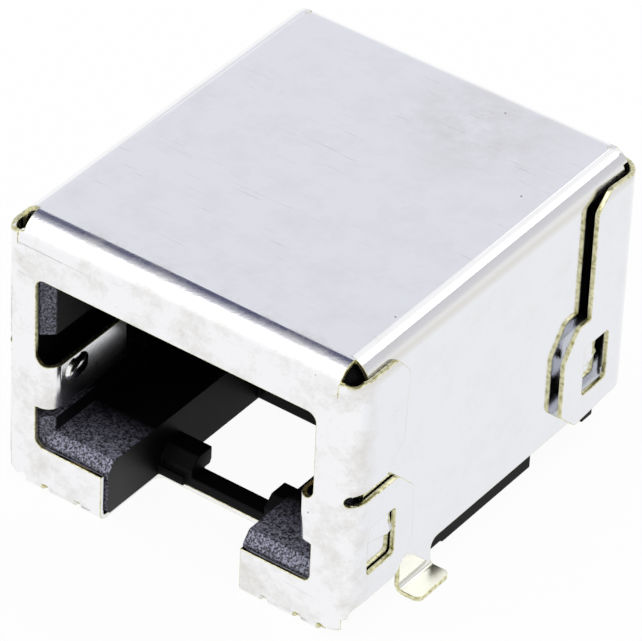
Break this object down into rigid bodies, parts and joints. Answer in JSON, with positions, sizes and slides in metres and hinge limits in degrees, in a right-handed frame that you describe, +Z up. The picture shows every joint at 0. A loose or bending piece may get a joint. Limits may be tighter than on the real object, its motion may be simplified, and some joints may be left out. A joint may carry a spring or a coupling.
{
  "type": "rj45 board jack",
  "caption": "Shielded modular jack for surface mounting on a circuit board, latch channel next to the board, with side earthing fingers and solder tabs",
  "frame": {"origin": "on the board, below the middle of the whole jack, contact tails included", "axes": "+Z up from the board, +Y back from the plug opening, +X to the right seen from the opening"},
  "size_m": [0.0176, 0.0188, 0.0123],
  "materials": {
    "shield_sheet": "bright nickel plate on folded brass sheet, brass at the cut edges",
    "housing_plastic": "black glass-filled moulding, satin",
    "carrier_plastic": "black glass-filled moulding, satin",
    "contact_metal": "thin gold plate on spring bronze"
  },
  "bodies": {
    "root": {"shield": "shield_sheet", "housing": "housing_plastic", "contact_carrier": "carrier_plastic", "contact_1": "contact_metal", "contact_2": "contact_metal", "contact_3": "contact_metal", "contact_4": "contact_metal", "contact_5": "contact_metal", "contact_6": "contact_metal", "contact_7": "contact_metal", "contact_8": "contact_metal"}
  },
  "joints": []
}
